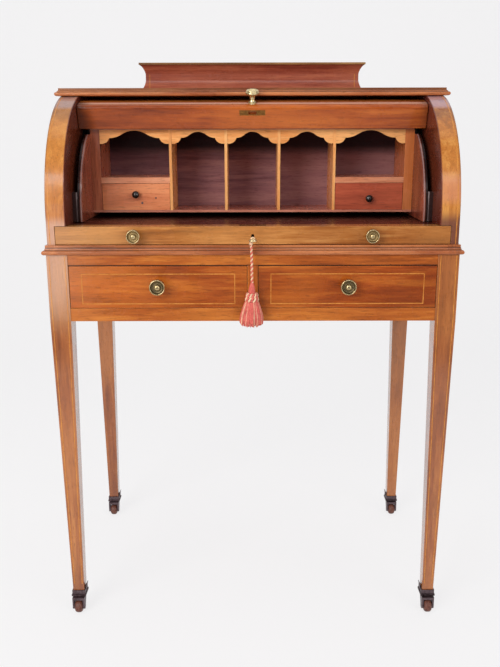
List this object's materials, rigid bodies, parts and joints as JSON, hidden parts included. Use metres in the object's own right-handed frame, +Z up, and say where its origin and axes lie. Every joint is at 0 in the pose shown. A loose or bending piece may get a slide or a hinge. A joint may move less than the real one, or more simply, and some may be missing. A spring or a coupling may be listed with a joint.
{
  "type": "cylinder desk",
  "caption": "Inlaid cylinder desk on tapered legs with casters: a quarter-round fall closes over a pull-out writing slide and pigeonholes, above frieze drawers.",
  "frame": {"origin": "on the floor under the middle of the desk's box, tassel left out", "axes": "+Z up, +X along the front to the viewer's right, the front faces -Y"},
  "size_m": [0.726, 0.4745, 1.041],
  "materials": {
    "mahogany": "French polished mahogany with boxwood stringing",
    "inner_wood": "polished mahogany",
    "drawer_wood": "waxed secondary wood",
    "brass": "polished, with tarnish in the hollows",
    "bronze": "darkened brass",
    "iron": "dark wrought iron",
    "wheel": "worn brown hardwood",
    "ebony": "polished black",
    "tassel": "rayon yarn in pink and cream"
  },
  "bodies": {
    "desk": {"leg_front_left": "mahogany", "leg_front_right": "mahogany", "leg_back_left": "mahogany", "leg_back_right": "mahogany", "caster_cups": "bronze", "frieze_rails": "mahogany", "drawer_muntin": "mahogany", "aprons": "mahogany", "drawer_runners": "drawer_wood", "bed_board": "mahogany", "waist_moulding": "mahogany", "cheek_left": "mahogany", "cheek_right": "mahogany", "back_panel": "drawer_wood", "top_board": "mahogany", "gallery": "mahogany", "gallery_cap": "mahogany", "linings": "inner_wood", "lining_spacers": "inner_wood", "pivot_pins": "iron", "case_boards": "inner_wood", "case_back": "inner_wood", "case_sides": "inner_wood", "case_partitions": "inner_wood", "case_arches": "inner_wood"},
    "cylinder": {"cylinder_shell": "mahogany", "cylinder_edge": "mahogany", "strike_plate": "brass", "cylinder_knob": "brass", "cylinder_arms": "iron"},
    "slide": {"slide_front": "mahogany", "slide_panel": "mahogany", "slide_knobs": "brass", "slide_lock": "brass"},
    "key": {"key": "brass"},
    "bolt": {"lock_bolt": "brass"},
    "tassel": {"tassel_cord": "tassel", "tassel_head": "tassel", "tassel_skirt": "tassel"},
    "drawer_left": {"drawer_left_front": "mahogany", "drawer_left_box": "drawer_wood", "drawer_left_knob": "brass"},
    "small_drawer_left": {"small_drawer_left_front": "mahogany", "small_drawer_left_box": "drawer_wood", "small_drawer_left_knob": "ebony"},
    "drawer_right": {"drawer_right_front": "mahogany", "drawer_right_box": "drawer_wood", "drawer_right_knob": "brass"},
    "small_drawer_right": {"small_drawer_right_front": "mahogany", "small_drawer_right_box": "drawer_wood", "small_drawer_right_knob": "ebony"},
    "caster_front_left": {"caster_horn_front_left": "bronze"},
    "wheel_front_left": {"caster_wheel_front_left": "wheel"},
    "caster_front_right": {"caster_horn_front_right": "bronze"},
    "wheel_front_right": {"caster_wheel_front_right": "wheel"},
    "caster_back_left": {"caster_horn_back_left": "bronze"},
    "wheel_back_left": {"caster_wheel_back_left": "wheel"},
    "caster_back_right": {"caster_horn_back_right": "bronze"},
    "wheel_back_right": {"caster_wheel_back_right": "wheel"}
  },
  "joints": [
    {"name": "cylinder_roll", "type": "hinge", "parent": "desk", "child": "cylinder", "pos_m": [0, 0.01125, 0.76], "axis": [1, 0, 0], "range_deg": [0, 73.05]},
    {"name": "writing_slide", "type": "slide", "parent": "desk", "child": "slide", "axis": [0, -1, 0], "range_m": [0, 0.26]},
    {"name": "key_turn", "type": "hinge", "parent": "slide", "child": "key", "pos_m": [0, -0.19725, 0.7246], "axis": [0, -1, 0], "range_deg": [0, 90]},
    {"name": "bolt_slide", "type": "slide", "parent": "slide", "child": "bolt", "axis": [0, 0, 1], "range_m": [0, 0.005]},
    {"name": "tassel_swing", "type": "hinge", "parent": "slide", "child": "tassel", "pos_m": [0, -0.21825, 0.7246], "axis": [0, 1, 0], "range_deg": [-15, 15]},
    {"name": "drawer_left_slide", "type": "slide", "parent": "desk", "child": "drawer_left", "axis": [0, -1, 0], "range_m": [0, 0.24], "deforming": ["tassel_skirt"]},
    {"name": "small_drawer_left_slide", "type": "slide", "parent": "desk", "child": "small_drawer_left", "axis": [0, -1, 0], "range_m": [0, 0.06]},
    {"name": "drawer_right_slide", "type": "slide", "parent": "desk", "child": "drawer_right", "axis": [0, -1, 0], "range_m": [0, 0.24], "deforming": ["tassel_skirt"]},
    {"name": "small_drawer_right_slide", "type": "slide", "parent": "desk", "child": "small_drawer_right", "axis": [0, -1, 0], "range_m": [0, 0.06]},
    {"name": "caster_front_left_swivel", "type": "hinge", "parent": "desk", "child": "caster_front_left", "pos_m": [-0.33675, -0.1825, 0.0323], "axis": [0, 0, 1], "continuous": true},
    {"name": "wheel_front_left_roll", "type": "hinge", "parent": "caster_front_left", "child": "wheel_front_left", "pos_m": [-0.33675, -0.1965, 0.0125], "axis": [1, 0, 0], "continuous": true},
    {"name": "caster_front_right_swivel", "type": "hinge", "parent": "desk", "child": "caster_front_right", "pos_m": [0.33675, -0.1825, 0.0323], "axis": [0, 0, 1], "continuous": true},
    {"name": "wheel_front_right_roll", "type": "hinge", "parent": "caster_front_right", "child": "wheel_front_right", "pos_m": [0.33675, -0.1965, 0.0125], "axis": [1, 0, 0], "continuous": true},
    {"name": "caster_back_left_swivel", "type": "hinge", "parent": "desk", "child": "caster_back_left", "pos_m": [-0.33675, 0.219, 0.0323], "axis": [0, 0, 1], "continuous": true},
    {"name": "wheel_back_left_roll", "type": "hinge", "parent": "caster_back_left", "child": "wheel_back_left", "pos_m": [-0.33675, 0.205, 0.0125], "axis": [1, 0, 0], "continuous": true},
    {"name": "caster_back_right_swivel", "type": "hinge", "parent": "desk", "child": "caster_back_right", "pos_m": [0.33675, 0.219, 0.0323], "axis": [0, 0, 1], "continuous": true},
    {"name": "wheel_back_right_roll", "type": "hinge", "parent": "caster_back_right", "child": "wheel_back_right", "pos_m": [0.33675, 0.205, 0.0125], "axis": [1, 0, 0], "continuous": true}
  ],
  "couplings": [
    {"joint": "key_turn", "follows": "bolt_slide", "rad_per_m": 314.1}
  ]
}
